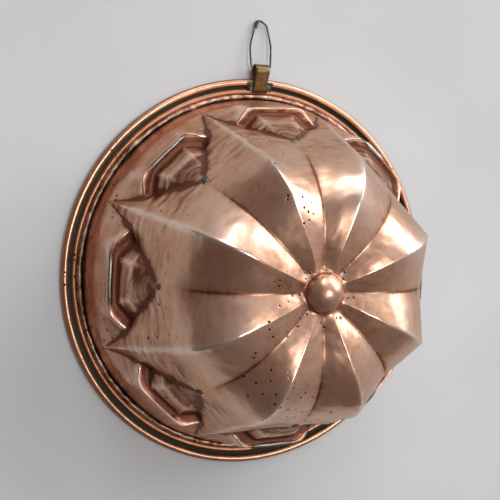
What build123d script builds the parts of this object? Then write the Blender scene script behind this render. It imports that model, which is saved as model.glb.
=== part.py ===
from build123d import *
import os
from math import asin, atan2, cos, degrees, hypot, radians, sin

# Hand-raised copper cake mould with eight roof-shaped lobes, standing on its rim, dome upward.
# Origin: centre of the rim's underside. +Z: axis of the mould. +Y: towards the hanging loop.
# All sizes are in millimetres.

# Rim: a flat flange with a swaged bead and an edge rolled round an iron wire
rim_radius = 120.0
rim_sheet = 0.9
core_wire_radius = 1.2
core_wire_clearance = 0.05
curl_turn = 250.0
curl_facets = 10
core_wire_facets = 10
seam_facets = 12
loop_wire_facets = 8
swage_inset = 5.45
swage_half_width = 2.1
swage_rise = 1.5

# Mould body: wall, lobes and their eight panels
lobes = 8
sheet = 1.2
wall_foot_radius = 108.0
wall_taper = 2.1
crease_height = 14.0
crown_radius = 12.5
crown_height = 96.0
ridge_peak_radius = 50.0
ridge_peak_height = 101.6
ridge_shoulder_radius = 75.5
ridge_shoulder_height = 88.0
ridge_brow_radius = 84.0
ridge_brow_height = 67.0
valley_rise_radius = 36.0
valley_rise_height = 98.0
valley_slope_radius = 62.0
valley_slope_height = 87.5
valley_end_radius = 80.0
valley_end_height = 63.5
knob_radius = 11.2
knob_height = 9.8
knob_rings = 6

# One panel, seen from above: distances out from the axis and half-widths across
sill_height = 38.0
sill_reach = 99.6
sill_half_width = 19.0
sill_return_reach = 90.6
sill_return_half_width = 26.5
tread_fall = 10.0
step_inset = 4.6
step_height = 46.5
step_reach = 91.6
step_half_width = 8.6
step_return_reach = 85.8
step_return_half_width = 15.6
riser_root = 2.4

# Solder: the seam at the wall's foot and the plugs that close the thin spots of the valleys
seam_radius = 2.3
seam_lift = 1.1
plug_radius = 2.4
plug_slope = 54.0
plug_dome = 0.7
plug_back = 0.5
plug_sides = 10
plug_hole_reach = 3.6
dot_radius = 1.1
dot_dome = 0.4
dot_places = (0.05, 0.13)

# Hanger: a strap rolled into an eye, and the wire loop that hangs in it
strap_width = 9.6
strap_sheet = 0.9
strap_grip = 1.0
strap_seat_gap = 0.2
eye_bore_radius = 3.2
eye_rim_gap = 0.35
eye_floor_gap = 0.3
eye_turn = 285.0
hanger_solder_arc = 9.0
loop_wire_radius = 0.6
loop_seat_clearance = 0.1
loop_corner_clearance = 1.5
loop_corner_bend = 1.3
loop_half_width = 7.0
loop_belly = 13.0
loop_length = 29.0
loop_shoulder_half_width = 4.4
loop_knot_offset = 2.4
loop_side_bend = 20.0
loop_top_bend = 2.2
loop_rest_clearance = 0.15
twist_length = 4.6
twist_pitch_radius = 0.66

half_lobe = 180.0 / lobes
curl_bore_radius = core_wire_radius + core_wire_clearance
bead_radius = curl_bore_radius + rim_sheet
bead_centre_radius = rim_radius - bead_radius
swage_radius = bead_centre_radius - swage_inset
crease_radius = wall_foot_radius - wall_taper
strap_end_radius = swage_radius - strap_grip
leg_slope = (crease_radius - ridge_brow_radius) / (ridge_brow_height - crease_height)
flat_reach = crease_radius * cos(radians(half_lobe))


def arc_points(centre, radius, start, span, steps):
    """Corners of a round stretch, from the start angle over the span, in degrees."""
    turns = [radians(start + span * k / steps) for k in range(steps + 1)]
    return [(centre[0] + radius * cos(t), centre[1] + radius * sin(t)) for t in turns]


def radial_plane(azimuth):
    """A plane through the axis: its x runs outward at the azimuth, its y runs up."""
    a = radians(azimuth)
    return Plane(origin=(0, 0, 0), x_dir=(cos(a), sin(a), 0), z_dir=(sin(a), -cos(a), 0))


def inward(points, inset):
    """Shift a profile that runs outward and down by the inset, square to itself."""
    moved = []
    for i, (r, z) in enumerate(points):
        before = points[max(i - 1, 0)]
        after = points[min(i + 1, len(points) - 1)]
        dr = after[0] - before[0]
        dz = after[1] - before[1]
        length = hypot(dr, dz)
        moved.append((r + inset * dz / length, z - inset * dr / length))
    return moved


def ridge_profile():
    return [
        (crown_radius, crown_height),
        (ridge_peak_radius, ridge_peak_height),
        (ridge_shoulder_radius, ridge_shoulder_height),
        (ridge_brow_radius, ridge_brow_height),
        (crease_radius, crease_height),
    ]


def valley_profile():
    return [
        (crown_radius, crown_height),
        (valley_rise_radius, valley_rise_height),
        (valley_slope_radius, valley_slope_height),
        (valley_end_radius, valley_end_height),
        (flat_reach, crease_height),
    ]


def lobe_section(azimuth, points, inset):
    """Closed outline between the core and a radial profile, in the azimuth's plane."""
    *crown, foot = inward(points, inset)
    core = crown_radius / 2
    floor = crease_height - inset
    foot = (foot[0] + leg_slope * (foot[1] - floor), floor)
    with BuildSketch(radial_plane(azimuth)) as section:
        with BuildLine():
            over = Spline(*crown)
            leg = Line(over @ 1, foot)
            Polyline(leg @ 1, (core, floor), (core, (over @ 0).Y), over @ 0)
        make_face()
    return section.sketch.faces()[0]


def panel_base(inset):
    """Foot of a panel on the wall's crease circle, from one lobe foot to the next."""
    radius = crease_radius - inset
    corner = degrees(atan2(sill_half_width, sill_reach))
    with BuildSketch(Plane.XY.offset(crease_height - inset)) as base:
        with BuildLine():
            left = CenterArc((0, 0), radius, -half_lobe, half_lobe - corner)
            CenterArc((0, 0), radius, -corner, 2 * corner)
            right = CenterArc((0, 0), radius, corner, half_lobe - corner)
            Polyline(right @ 1, (flat_reach / 2, 0), left @ 0)
        make_face()
    return base.sketch.faces()[0]


def hexagon_end(plane, front, half_width, side, side_half_width, back):
    """The outer half of a panel hexagon, closed towards the axis at the back point."""
    with BuildSketch(plane) as hexagon:
        with BuildLine():
            Polyline(
                (side, -side_half_width),
                (front, -half_width),
                (front, half_width),
                (side, side_half_width),
                (back, 0),
                close=True,
            )
        make_face()
    return hexagon.sketch.faces()[0]


def tread_plane(inset):
    """The lower tread falls towards the axis, which leaves a groove at the next riser."""
    t = radians(tread_fall)
    return Plane(
        origin=(sill_reach - inset, 0, sill_height - inset),
        x_dir=(cos(t), 0, sin(t)),
        z_dir=(-sin(t), 0, cos(t)),
    )


def mould_form(inset):
    """The mould as a full solid, or its hollow when the inset is the sheet."""
    back = flat_reach / 2
    side = inset / 2
    riser_foot = sill_height - sin(radians(tread_fall)) * (sill_reach - step_reach) - riser_root
    sill = hexagon_end(
        tread_plane(inset),
        0,
        sill_half_width - side,
        sill_return_reach - sill_reach,
        sill_return_half_width - side,
        back - sill_reach,
    )
    riser_base = hexagon_end(
        Plane.XY.offset(riser_foot - inset),
        step_reach + step_inset - inset,
        step_half_width + step_inset - side,
        step_return_reach + step_inset - inset,
        step_return_half_width + step_inset - side,
        back,
    )
    step_edge = hexagon_end(
        Plane.XY.offset(step_height - inset),
        step_reach - inset,
        step_half_width - side,
        step_return_reach - inset,
        step_return_half_width - side,
        back,
    )
    brow_tip = Vertex(valley_end_radius - inset, 0, valley_end_height - inset)
    with BuildPart() as half:
        valley = lobe_section(0, valley_profile(), inset)
        ridge = lobe_section(half_lobe, ridge_profile(), inset)
        loft(sections=[valley, ridge], ruled=True)
    with BuildPart() as steps:
        loft(sections=[panel_base(inset), sill], ruled=True)
        loft(sections=[riser_base, step_edge], ruled=True)
        loft(sections=[step_edge, brow_tip], ruled=True)
    with BuildPart() as form:
        with BuildSketch(Plane.XZ):
            with BuildLine():
                Polyline(
                    (0, rim_sheet - inset),
                    (wall_foot_radius - inset, rim_sheet - inset),
                    (crease_radius - inset, crease_height),
                    (0, crease_height),
                    close=True,
                )
            make_face()
        revolve(axis=Axis.Z)
        with Locations((0, 0, (crown_height - inset) / 2)):
            Cylinder(crown_radius, crown_height - inset)
        with BuildSketch(Plane.XZ):
            with BuildLine():
                foot = crown_height - inset
                turn = 90 / knob_rings
                Polyline(
                    (0, crown_height / 2),
                    *[
                        (
                            (knob_radius - inset) * cos(radians(k * turn)),
                            foot + knob_height * sin(radians(k * turn)),
                        )
                        for k in range(knob_rings + 1)
                    ],
                    close=True,
                )
            make_face()
        revolve(axis=Axis.Z)
        with PolarLocations(0, lobes):
            add(half.part)
            add(mirror(half.part, about=Plane.XZ))
            add(steps.part)
    return form.part


def valley_normal_plane(distance, height, slope, azimuth):
    """Plane square to a valley at a place on it; the slope is the valley's fall in degrees."""
    a = radians(azimuth)
    t = radians(slope)
    return Plane(
        origin=(distance * cos(a), distance * sin(a), height),
        x_dir=(-sin(a), cos(a), 0),
        z_dir=(sin(t) * cos(a), sin(t) * sin(a), cos(t)),
    )


def valley_places():
    """Every plugged spot: its plane, radius and dome, one end plug and its dots per valley."""
    crown_line = Spline(*valley_profile()[:-1])
    places = []
    for k in range(lobes):
        azimuth = k * 2 * half_lobe
        end = valley_normal_plane(valley_end_radius, valley_end_height, plug_slope, azimuth)
        places.append((end, plug_radius, plug_dome))
        for t in dot_places:
            spot = crown_line @ t
            places.append((valley_normal_plane(spot.X, spot.Y, 0, azimuth), dot_radius, dot_dome))
    return places


def plug(plane, radius, dome):
    """A lump of solder through the sheet, with a flattened crown on the outside."""
    depth = 2 * sheet + plug_back
    with BuildPart(plane) as stud:
        with BuildSketch(plane.offset(-depth)):
            RegularPolygon(radius, plug_sides)
        extrude(amount=depth)
        with BuildSketch(plane):
            RegularPolygon(radius, plug_sides)
        with BuildSketch(plane.offset(dome)):
            RegularPolygon(radius / 2, plug_sides)
        loft()
    return stud.part


def plug_hole(plane, radius):
    """The hole that a plug fills, longer than the sheet is thick."""
    with BuildPart() as hole:
        with BuildSketch(plane):
            RegularPolygon(radius, plug_sides)
        extrude(amount=plug_hole_reach, both=True)
    return hole.part


os.makedirs("parts", exist_ok=True)
plugs = [plug(*place) for place in valley_places()]
plug_holes = [plug_hole(plane, radius) for plane, radius, dome in valley_places()]

with BuildPart() as mould_body:
    add(mould_form(0))
    add(mould_form(sheet), mode=Mode.SUBTRACT)
    for hole in plug_holes:
        add(hole, mode=Mode.SUBTRACT)
mould_body.part.label = "mould_body"
export_step(mould_body.part, "parts/mould_body.step")

with BuildPart() as valley_end_plugs:
    for stud in plugs[:: len(dot_places) + 1]:
        add(stud)
valley_end_plugs.part.label = "valley_end_plugs"
export_step(valley_end_plugs.part, "parts/valley_end_plugs.step")

with BuildPart() as knob_foot_plugs:
    for i, stud in enumerate(plugs):
        if i % (len(dot_places) + 1):
            add(stud)
knob_foot_plugs.part.label = "knob_foot_plugs"
export_step(knob_foot_plugs.part, "parts/knob_foot_plugs.step")


def swage(drop):
    """The swaged bead's outline, at the top of the flange or lowered to its underside."""
    foot = rim_sheet - drop
    ball = (swage_half_width**2 + swage_rise**2) / (2 * swage_rise)
    half = degrees(asin(swage_half_width / ball))
    return arc_points((swage_radius, foot + swage_rise - ball), ball, 90 - half, 2 * half, 4)


bead_centre = (bead_centre_radius, bead_radius)
with BuildSketch(Plane.XZ) as rim_section:
    with BuildLine():
        inner_edge = wall_foot_radius - sheet
        Polyline(
            *arc_points(bead_centre, bead_radius, -90, curl_turn, curl_facets),
            *arc_points(bead_centre, curl_bore_radius, curl_turn - 90, -curl_turn, curl_facets),
            *swage(0),
            (inner_edge, rim_sheet),
            (inner_edge, 0),
            *reversed(swage(rim_sheet)),
            close=True,
        )
    make_face()

with BuildPart() as rim_ring:
    add(rim_section.sketch)
    revolve(axis=Axis.Z)
rim_ring.part.label = "rim_ring"
export_step(rim_ring.part, "parts/rim_ring.step")

with BuildPart() as core_wire:
    with BuildSketch(Plane.XZ):
        with Locations(bead_centre):
            RegularPolygon(core_wire_radius, core_wire_facets)
    revolve(axis=Axis.Z)
core_wire.part.label = "core_wire"
export_step(core_wire.part, "parts/core_wire.step")

seam_centre = (wall_foot_radius + seam_lift, rim_sheet + seam_lift)
with BuildPart() as seam_solder:
    with BuildSketch(Plane.XZ):
        with Locations(seam_centre):
            RegularPolygon(seam_radius, seam_facets)
        with BuildLine():
            Polyline(
                (crease_radius - seam_radius, 0),
                (wall_foot_radius, 0),
                (wall_foot_radius, rim_sheet),
                (crease_radius, crease_height),
                (crease_radius - seam_radius, crease_height),
                close=True,
            )
        make_face(mode=Mode.SUBTRACT)
        with Locations((wall_foot_radius, rim_sheet - seam_radius)):
            Rectangle(4 * seam_radius, 2 * seam_radius, mode=Mode.SUBTRACT)
        with BuildLine():
            Polyline(*swage(0), close=True)
        make_face(mode=Mode.SUBTRACT)
    revolve(axis=Axis.Z)
seam_solder.part.label = "seam_solder"
export_step(seam_solder.part, "parts/seam_solder.step")

eye_outer_radius = eye_bore_radius + strap_sheet
eye_line_radius = eye_bore_radius + strap_sheet / 2
eye_reach = rim_radius + eye_rim_gap + eye_outer_radius
eye_height = eye_floor_gap + eye_outer_radius
bead_top = 2 * bead_radius + strap_seat_gap + strap_sheet / 2
rise_run = eye_reach - bead_centre_radius
rise_lift = eye_height - bead_top
rise_angle = degrees(
    atan2(rise_lift, rise_run) + asin(eye_line_radius / hypot(rise_run, rise_lift))
)

with BuildPart() as hanger_strap:
    with BuildSketch(Plane.YZ) as strap_section:
        with BuildLine():
            curl = CenterArc(
                (eye_reach, eye_height), eye_line_radius, 90 + rise_angle, -eye_turn
            )
            Polyline(
                (strap_end_radius, rim_sheet + swage_rise + strap_seat_gap + strap_sheet / 2),
                (bead_centre_radius, bead_top),
                curl @ 0,
            )
        trace(line_width=strap_sheet)
    extrude(amount=strap_width / 2, both=True)
hanger_strap.part.label = "hanger_strap"
export_step(hanger_strap.part, "parts/hanger_strap.step")

with BuildPart() as hanger_solder:
    with BuildSketch(Plane.YZ):
        with BuildLine():
            Polyline(
                (swage_radius, rim_sheet),
                (bead_centre_radius, rim_sheet),
                (bead_centre_radius, 2 * bead_radius + strap_sheet / 2),
                (swage_radius, rim_sheet + swage_rise + strap_sheet),
                close=True,
            )
        make_face()
        with Locations(bead_centre):
            Circle(bead_radius, mode=Mode.SUBTRACT)
        with BuildLine():
            Polyline(*swage(0), close=True)
        make_face(mode=Mode.SUBTRACT)
    revolve(axis=Axis.Z, revolution_arc=hanger_solder_arc / 2)
    mirror(about=Plane.YZ)
    add(hanger_strap.part, mode=Mode.SUBTRACT)
hanger_solder.part.label = "hanger_solder"
export_step(hanger_solder.part, "parts/hanger_solder.step")

pivot_reach = eye_reach + eye_bore_radius - loop_wire_radius - loop_seat_clearance
knot_half_thickness = twist_pitch_radius + loop_wire_radius
drop_angle = degrees(asin((eye_height - knot_half_thickness - loop_rest_clearance) / loop_length))
t = radians(drop_angle)
loop_plane = Plane(origin=(0, pivot_reach, eye_height), x_dir=(1, 0, 0), z_dir=(0, sin(t), cos(t)))
corner_half_width = strap_width / 2 + loop_corner_clearance
knot_reach = loop_length - twist_pitch_radius

with BuildPart() as hanging_loop:
    with BuildLine(loop_plane):
        bend = FilletPolyline(
            (-loop_knot_offset, knot_reach - loop_top_bend),
            (-loop_half_width, loop_belly),
            (-corner_half_width, 0),
            (corner_half_width, 0),
            (loop_half_width, loop_belly),
            (loop_shoulder_half_width, knot_reach - loop_top_bend),
            (0, loop_length),
            (-loop_knot_offset, knot_reach),
            radius=[
                loop_side_bend,
                loop_corner_bend,
                loop_corner_bend,
                loop_side_bend,
                2 * loop_top_bend,
                loop_top_bend,
            ],
        )
    with BuildSketch(Plane(origin=bend @ 0, z_dir=bend % 0)):
        RegularPolygon(loop_wire_radius, loop_wire_facets)
    sweep()
    with BuildSketch(Plane(origin=bend @ 0, z_dir=bend % 0)):
        RegularPolygon(knot_half_thickness, loop_wire_facets)
    extrude(amount=twist_length / 2, both=True)
hanging_loop.part.label = "hanging_loop"
export_step(hanging_loop.part, "parts/hanging_loop.step")
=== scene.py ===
from math import asin, cos, degrees, pi, radians, sin, tau

import bpy
import numpy as np
from mathutils import Matrix, Vector
from mathutils.bvhtree import BVHTree


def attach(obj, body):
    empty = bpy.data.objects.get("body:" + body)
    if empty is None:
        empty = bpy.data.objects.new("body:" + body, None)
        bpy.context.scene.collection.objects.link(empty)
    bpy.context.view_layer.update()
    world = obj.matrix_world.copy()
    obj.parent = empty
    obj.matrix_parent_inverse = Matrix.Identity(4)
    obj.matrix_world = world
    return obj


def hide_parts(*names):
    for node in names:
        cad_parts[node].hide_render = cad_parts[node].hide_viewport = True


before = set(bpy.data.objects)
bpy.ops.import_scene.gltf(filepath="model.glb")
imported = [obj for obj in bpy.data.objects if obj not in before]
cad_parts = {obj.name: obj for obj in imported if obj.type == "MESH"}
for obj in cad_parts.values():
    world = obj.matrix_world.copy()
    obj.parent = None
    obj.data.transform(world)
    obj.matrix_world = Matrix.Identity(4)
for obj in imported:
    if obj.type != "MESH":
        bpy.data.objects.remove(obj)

bl_info = {
    "name": "Raised copper cake mould",
    "version": (1, 0, 0),
    "blender": (4, 5, 0),
    "location": "3D View > Sidebar > Mould",
    "description": "Builds the visual pieces of a hand-raised copper cake mould on its frame",
    "category": "Object",
}

MM = 1000  # millimetres in a metre

# The part's own sizes in millimetres and degrees, as the solids have them
SHEET = 1.2
TOP = 105.75
RIM_SHEET = 0.9
BEAD_RADIUS = 2.15
BEAD_CENTRE = (117.85, 2.15)
CURL_BORE = 1.25
CURL_TURN = 250.0
SWAGE_RADIUS = 112.4
SWAGE_HALF_WIDTH = 2.1
SWAGE_RISE = 1.5
FLANGE_INNER = 106.8
FLANGE_FLAT = 1.5
SEAM_CENTRE = (109.2, 1.5)
SEAM_RADIUS = 1.55
SEAM_ROOT = ((107.6, 1.6), (107.2, 1.0))
LOBES = 8
HALF_LOBE = 180.0 / LOBES
STRAP_SHEET = 0.9
STRAP_WIDTH = 9.6
STRAP_START = (111.4, 3.05)
STRAP_BEND = 5.0
EYE_CENTRE = (124.45, 4.4)
EYE_RADIUS = 3.65
EYE_SPAN = 285
PIVOT = (126.95, 4.4)
LOOP_DROP = 5.918
WIRE_RADIUS = 0.6
# Legs and bar of the wire loop, across and outward from the pivot, and how far each corner is bent
LOOP_CORNERS = (
    (-3.6, 22.9), (-7.0, 13.0), (-6.3, 0.0), (6.3, 0.0),
    (7.0, 13.0), (4.4, 26.14), (0.4, 28.3), (-1.3, 28.15),
)
LOOP_BENDS = (20.0, 1.3, 1.3, 20.0, 4.0, 1.6)
LOOP_REACH = 28.35
TWIST_START = (-3.16, 23.97)
TWIST_LEAN = (0.33, 0.944)
TWIST_LENGTH = 4.3
TWIST_PITCH = 0.62
TWIST_TURNS = 1.75

# How far each valley and ridge stands off its even place, in degrees, read along the photograph
VALLEY_TURN = (-1.1, 0.9, 2.7, -0.3, -1.1, -0.3, 0.5, -0.4)
RIDGE_TURN = (0.2, 3.2, 0.5, -2.5, -0.5, -1.3, -1.0, -2.8)

# Rows of the control cage as (radius, height) pairs
POLE_HEIGHT = 105.4
KNOB_ROWS = ((5.2, 104.6), (9.3, 102.0), (11.3, 99.0), (11.2, 96.8))
# Each row of the lobes has one pair in the valley and one on the ridge
LOBE_ROWS = (
    ((12.4, 95.2), (12.9, 97.2)),
    ((21.0, 96.6), (22.5, 100.3)),
    ((36.0, 98.2), (38.5, 101.7)),
    ((50.0, 95.0), (54.0, 102.2)),
    ((62.0, 88.0), (68.0, 96.2)),
    ((72.5, 77.5), (78.2, 84.8)),
    ((80.0, 63.5), (84.4, 67.0)),
)
COLUMNS = 3  # cage columns between a valley and its ridge
PUFF = 1.1  # how far the flank of a lobe swells between valley and ridge
# Cage points below the brow, as distance out, distance across and height, on one half of a lobe
FOOT_POINTS = {
    "brow_side": (82.7, 8.2, 55.2),
    "brow_mid": (84.0, 24.5, 55.0),
    "step": (91.0, 0.0, 46.6),
    "step_corner": (90.8, 9.9, 46.6),
    "step_end": (86.2, 16.0, 46.0),
    "step_mid": (87.3, 25.5, 46.0),
    "groove": (95.7, 0.0, 36.5),
    "groove_corner": (95.7, 12.1, 36.5),
    "groove_end": (87.8, 21.0, 36.2),
    "sill": (99.8, 0.0, 38.0),
    "sill_corner": (99.8, 19.3, 38.0),
    "sill_end": (89.4, 26.6, 37.5),
    "wall_side": (92.2, 33.2, 26.0),
}
# The same for points given by radius, angle from the valley and height
POLAR_POINTS = {
    "leg_1": (89.8, HALF_LOBE, 55.0),
    "leg_2": (93.7, HALF_LOBE, 46.0),
    "leg_3": (96.9, HALF_LOBE, 38.0),
    "leg_4": (101.0, HALF_LOBE, 27.0),
    "wall_mid": (106.2, 0.0, 14.0),
    "wall_corner": (106.2, 10.9, 14.0),
    "wall_turn": (106.1, 17.0, 14.0),
    "wall_crease": (105.6, HALF_LOBE, 13.0),
    "foot_mid": (108.0, 0.0, 0.9),
    "foot_corner": (108.0, 10.9, 0.9),
    "foot_turn": (108.0, 17.0, 0.9),
    "foot_crease": (108.0, HALF_LOBE, 0.9),
}
FOOT_FACES = (
    ("foot_mid", "foot_corner", "wall_corner", "wall_mid"),
    ("foot_corner", "foot_turn", "wall_turn", "wall_corner"),
    ("foot_turn", "foot_crease", "wall_crease", "wall_turn"),
    ("wall_mid", "wall_corner", "sill_corner", "sill"),
    ("wall_corner", "wall_turn", "sill_end", "sill_corner"),
    ("wall_turn", "wall_crease", "wall_side", "sill_end"),
    ("sill", "sill_corner", "groove_corner", "groove"),
    ("sill_corner", "sill_end", "groove_end", "groove_corner"),
    ("groove", "groove_corner", "step_corner", "step"),
    ("groove_corner", "groove_end", "step_end", "step_corner"),
    ("step", "step_corner", "brow_side", "row_6_0"),
    ("step_corner", "step_end", "brow_side"),
    ("wall_side", "wall_crease", "leg_4"),
    ("sill_end", "wall_side", "leg_4", "leg_3"),
    ("step_end", "groove_end", "sill_end", "step_mid"),
    ("step_mid", "sill_end", "leg_3", "leg_2"),
    ("brow_side", "step_end", "step_mid", "brow_mid"),
    ("brow_mid", "step_mid", "leg_2", "leg_1"),
    ("row_6_0", "brow_side", "row_6_1"),
    ("row_6_1", "brow_side", "brow_mid", "row_6_2"),
    ("row_6_2", "brow_mid", "leg_1", "row_6_3"),
)
VALLEY_LINE = ("step", "groove", "sill", "wall_mid", "foot_mid")
RIDGE_LINE = ("leg_1", "leg_2", "leg_3", "leg_4", "wall_crease", "foot_crease")
# Runs of cage edges that stay sharp, and how sharp
CREASES = (
    (0.62, ("row_0_3", "row_1_3", "row_2_3", "row_3_3", "row_4_3", "row_5_3", "row_6_3")),
    (0.60, ("row_6_3", "leg_1", "leg_2", "leg_3", "leg_4", "wall_crease")),
    (0.75, ("row_0_0", "row_1_0", "row_2_0", "row_3_0", "row_4_0", "row_5_0", "row_6_0")),
    (0.42, ("row_6_0", "row_6_1", "row_6_2", "row_6_3")),
    (0.80, ("row_6_0", "brow_side", "step_end", "groove_end", "sill_end")),
    (0.80, ("sill_end", "wall_side", "wall_crease")),
    (0.85, ("step", "step_corner", "step_end")),
    (0.90, ("groove", "groove_corner", "groove_end")),
    (0.85, ("sill", "sill_corner", "sill_end")),
    (0.70, ("step_corner", "groove_corner")),
    (0.50, ("step_corner", "brow_side")),
    (0.40, ("sill_corner", "wall_corner")),
    (0.40, ("knob_3_0", "knob_3_1", "knob_3_2", "knob_3_3")),
    (1.00, ("foot_mid", "foot_corner", "foot_turn", "foot_crease")),
)
# The crown of the knob takes the bend of the belt between these radii
CROWN_BELT = (4.6, 7.5)
CROWN_RADIUS = 5.6

# Uneven surfaces: cell size in millimetres, depth or share, and seed of each layer
SWELL_LAYERS = ((34, 1.0, 1), (15, 0.6, 2))
SWAY_LAYERS = ((16, 5.0, 6), (6, 2.0, 7))
RIM_LAYERS = ((26, 0.10, 11), (6, 0.05, 12))
SEAM_LAYERS = ((7, 0.26, 21), (2.6, 0.182, 22))
LUMP_LAYERS = ((2.4, 0.35, 31), (1.1, 0.2, 32))
FOLD_CELL, FOLD_SEED = 5.0, 4
SCRATCH_CELL, SCRATCH_SEED = 2.4, 5
BLOW_SEED = 3
LAY_RADIUS = 26  # inside this radius marks are as long as they are wide
# Smoothing steps that set how wide a crest, a hollow and a dent are taken to be
CREST_STEPS, HOLLOW_STEPS, DENT_STEPS = 9, 220, 12

# Solder under and beside the strap: reach, half its turn in degrees, and its highest point
SOLDER_REACH = (112.6, 117.9)
SOLDER_HALF_TURN = 4.4
SOLDER_TOP = 4.9
# Solder plugs at the outer ends of the valleys: distance out, half widths and rise
END_RADIUS = 79.5
END_SIZES = (2.7, 2.8, 2.7, 3.0, 2.2, 2.7, 2.5, 2.6)
END_RISE = 0.85
# Solder dots in the valleys round the knob: radius and direction in degrees
DOTS = (
    (16.0, 135.7), (13.4, 144.2), (13.6, 126.5), (18.2, 181.8),
    (14.0, 180.5), (16.2, 42.3), (13.4, 33.3), (14.2, 348.0),
    (17.6, 351.4), (16.5, 306.2), (15.0, 298.7), (15.2, 264.8),
    (17.5, 272.0), (14.2, 227.9), (18.4, 220.8), (22.3, 227.6),
)
DOT_RISE = 0.5
STUD_RINGS, STUD_SIDES = 6, 20

# Sizes of the marks on copper, in millimetres. The polish grain and the pits of real copper are
# finer than the render can show, so both are drawn about five times as coarse
FILM_CLOUD = 26.316
WIPE_STREAK = 3.8462
POLISH_GRAIN = 2.381
HAMMER_FACET = 6.6667
PIT_SPACING = 2.9412
PIT_PATCH = 47.619
BUMP_DEPTH = 0.6

# How much painted shade each of these lays on the sheet, darkening its copper
SHADE_IN_VALLEYS = 0.85
SHADE_IN_HOLLOWS = 0.4
SHADE_IN_DENTS = 0.25
SHADE_ON_BROW = 0.42
SHADE_ON_TREAD = 0.55
# Where the panels have painted shade: over the step's edge, and on the tread between groove and
# sill
BROW_FOOT = 46.4
TREAD_BAND = (35.4, 38.6)
TREAD_RADIUS = 88
# The crusted groove beside the rolled edge, and the heights where that edge is rubbed bright and
# given a painted highlight
GROOVE_RADIUS, GROOVE_SPREAD, GROOVE_TOP = 115.2, 1.1, 3.4
RUBBED_AND_LIT_BAND = (3.3, 4.2)

# Copper by its use: bright, middle and dull colours as sRGB hex
# Rubbed bright and given a painted highlight along the top of the rolled edge, olive-green crust in
# the groove beside it
RIM_COLOURS = ("#e6b799", "#b98062", "#5b5d4e")
# Never polished: brass-brown, with green-grey film where the solder ran
STRAP_COLOURS = ("#b98f6a", "#7d6a4a", "#3f4434")
PIT_COLOUR = "#2e1a13"

# Plain metals: light and dark colours, roughness, relief and patch size in millimetres
METALS = {
    # Hot tin wiped over the inside with a cloth: pale, half matt, with broad clouds
    "wiped_tin_lining": ("#b9b6ae", "#8d8982", 0.34, 0.2, 16.667),
    # Iron wire drawn through a plate and closed in by the copper: dark and dull
    "drawn_iron": ("#5a524c", "#3d3632", 0.5, 0.1, 3.3333),
    # Soft solder run in by hand and rubbed with copper: pale pink lumps, brown gaps
    "lumpy_solder": ("#dfc0ae", "#5f4538", 0.34, 0.6, 4.1667),
    # Small plugs of old solder: lead-grey and matt
    "plug_solder": ("#8f8c7f", "#4f4a41", 0.42, 0.3, 1.4286),
    # Solder under verdigris: grey-green in dark patches
    "verdigris_solder": ("#8b8672", "#3b3a2e", 0.45, 0.4, 2.0),
    # Steel wire drawn and bent cold: dark grey, a dull line of light along it
    "drawn_steel": ("#7d776f", "#453f39", 0.36, 0.1, 2.381),
}

# Camera: place in metres and the directions of its picture
CAMERA_PLACE = (-0.1923, 0.0545, 0.4614)
CAMERA_RIGHT = (0.92543, 0.02091, 0.37834)
CAMERA_DOWN = (-0.01089, -0.99660, 0.08172)
CAMERA_AHEAD = (0.37876, -0.07974, -0.92205)
# Lamps: name, place and size in metres, share of the window's power and colour
LAMP_AIM = (0, 0, 0.05)
LAMPS = (
    ("window", (2.60, 2.00, 1.60), (2.9, 1.7), 1.0, (1.0, 0.99, 0.98)),
    ("high_window", (0.05, 2.50, 1.70), (0.9, 1.2), 0.2, (0.96, 0.98, 1.0)),
    ("skylight", (0.72, 0.05, 3.00), (0.9, 0.9), 0.3, (1.0, 0.99, 0.98)),
)
FLOOR_REACH, FLOOR_CELLS, FLOOR_DROP = 1600, 24, 0.05
FLOOR_CLOUD = 111.11
# The side of the room that the window lights, and how light falls off to the other side
ROOM_LIGHT_SIDE = (0.62, 0.58, -0.12)
ROOM_RANGE = (-0.75, 0.8)
ROOM_COLOURS = ((0.0, "#665a55"), (0.45, "#8a827e"), (1.0, "#d8dadc"))
ROOM_SEEN = "#d2d2d1"

MATH = "ShaderNodeMath"
NOISE = "ShaderNodeTexNoise"


def linear(hexcode):
    """A colour written as sRGB hex, as linear RGBA."""
    parts = [int(hexcode[i : i + 2], 16) / 255 for i in (1, 3, 5)]
    parts = [c / 12.92 if c <= 0.04045 else ((c + 0.055) / 1.055) ** 2.4 for c in parts]
    return tuple(parts) + (1.0,)


def add_node(tree, kind, inputs=None, stops=(), **settings):
    """Add a node; inputs maps sockets to values or output sockets, stops fill its colour ramp."""
    node = tree.nodes.new(kind)
    for name, value in settings.items():
        setattr(node, name, value)
    for name, value in (inputs or {}).items():
        if isinstance(value, bpy.types.NodeSocket):
            tree.links.new(value, node.inputs[name])
        else:
            node.inputs[name].default_value = value
    for i, (place, colour) in enumerate(stops):
        elements = node.color_ramp.elements
        stop = elements[i] if i < 2 else elements.new(place)
        stop.position, stop.color = place, colour
    return node


def new_material(name):
    material = bpy.data.materials.new(name)
    material.use_nodes = True
    tree = material.node_tree
    tree.nodes.clear()
    shader = add_node(tree, "ShaderNodeBsdfPrincipled")
    add_node(tree, "ShaderNodeOutputMaterial", {"Surface": shader.outputs["BSDF"]})
    return material, tree, shader


def weighed(tree, start, marks):
    """Start value plus each mark times its weight, as an output socket."""
    total = start
    for mark, weight in marks:
        terms = {0: mark, 1: weight, 2: total}
        total = add_node(tree, MATH, terms, operation="MULTIPLY_ADD").outputs[0]
    return total


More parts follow.
